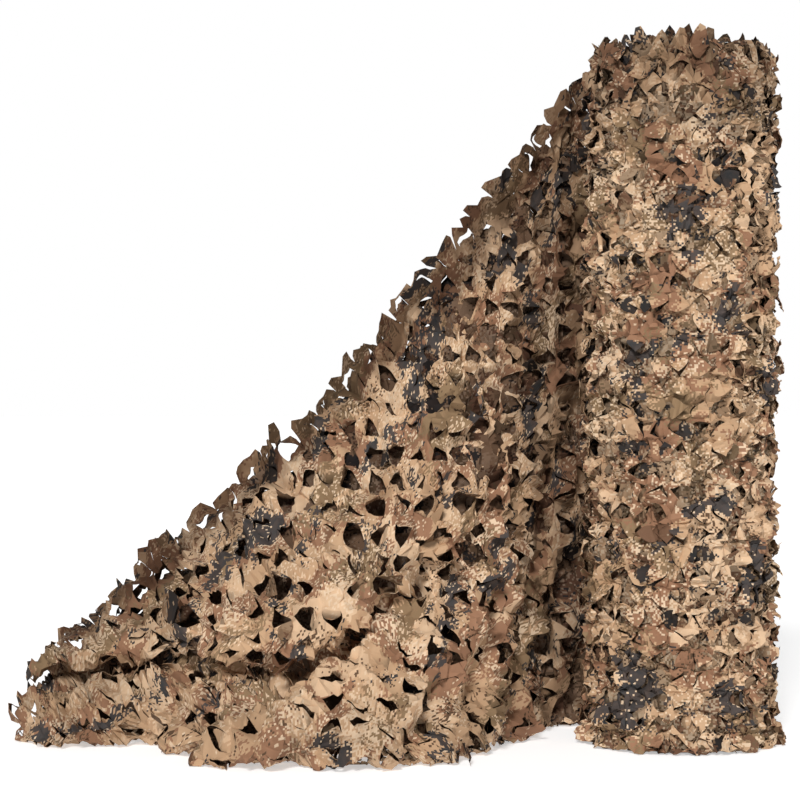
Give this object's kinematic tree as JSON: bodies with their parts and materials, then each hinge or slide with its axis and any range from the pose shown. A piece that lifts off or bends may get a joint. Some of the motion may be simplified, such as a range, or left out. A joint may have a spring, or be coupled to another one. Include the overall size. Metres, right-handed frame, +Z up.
{
  "type": "camouflage netting",
  "caption": "Bulk roll of leaf-cut camouflage netting standing on its end, with its loose end drawn out sideways and sloping down in folds to the floor.",
  "frame": {"origin": "middle of the roll's flat foot, on the surface that it stands on", "axes": "+Z up along the roll's axis; -X towards the end of the unwound net; -Y towards the side that the slope faces"},
  "size_m": [1.6673, 0.8977, 1.498],
  "materials": {
    "net": "matte"
  },
  "bodies": {
    "root": {"net_roll": "net", "net_loose_end": "net"}
  },
  "joints": []
}
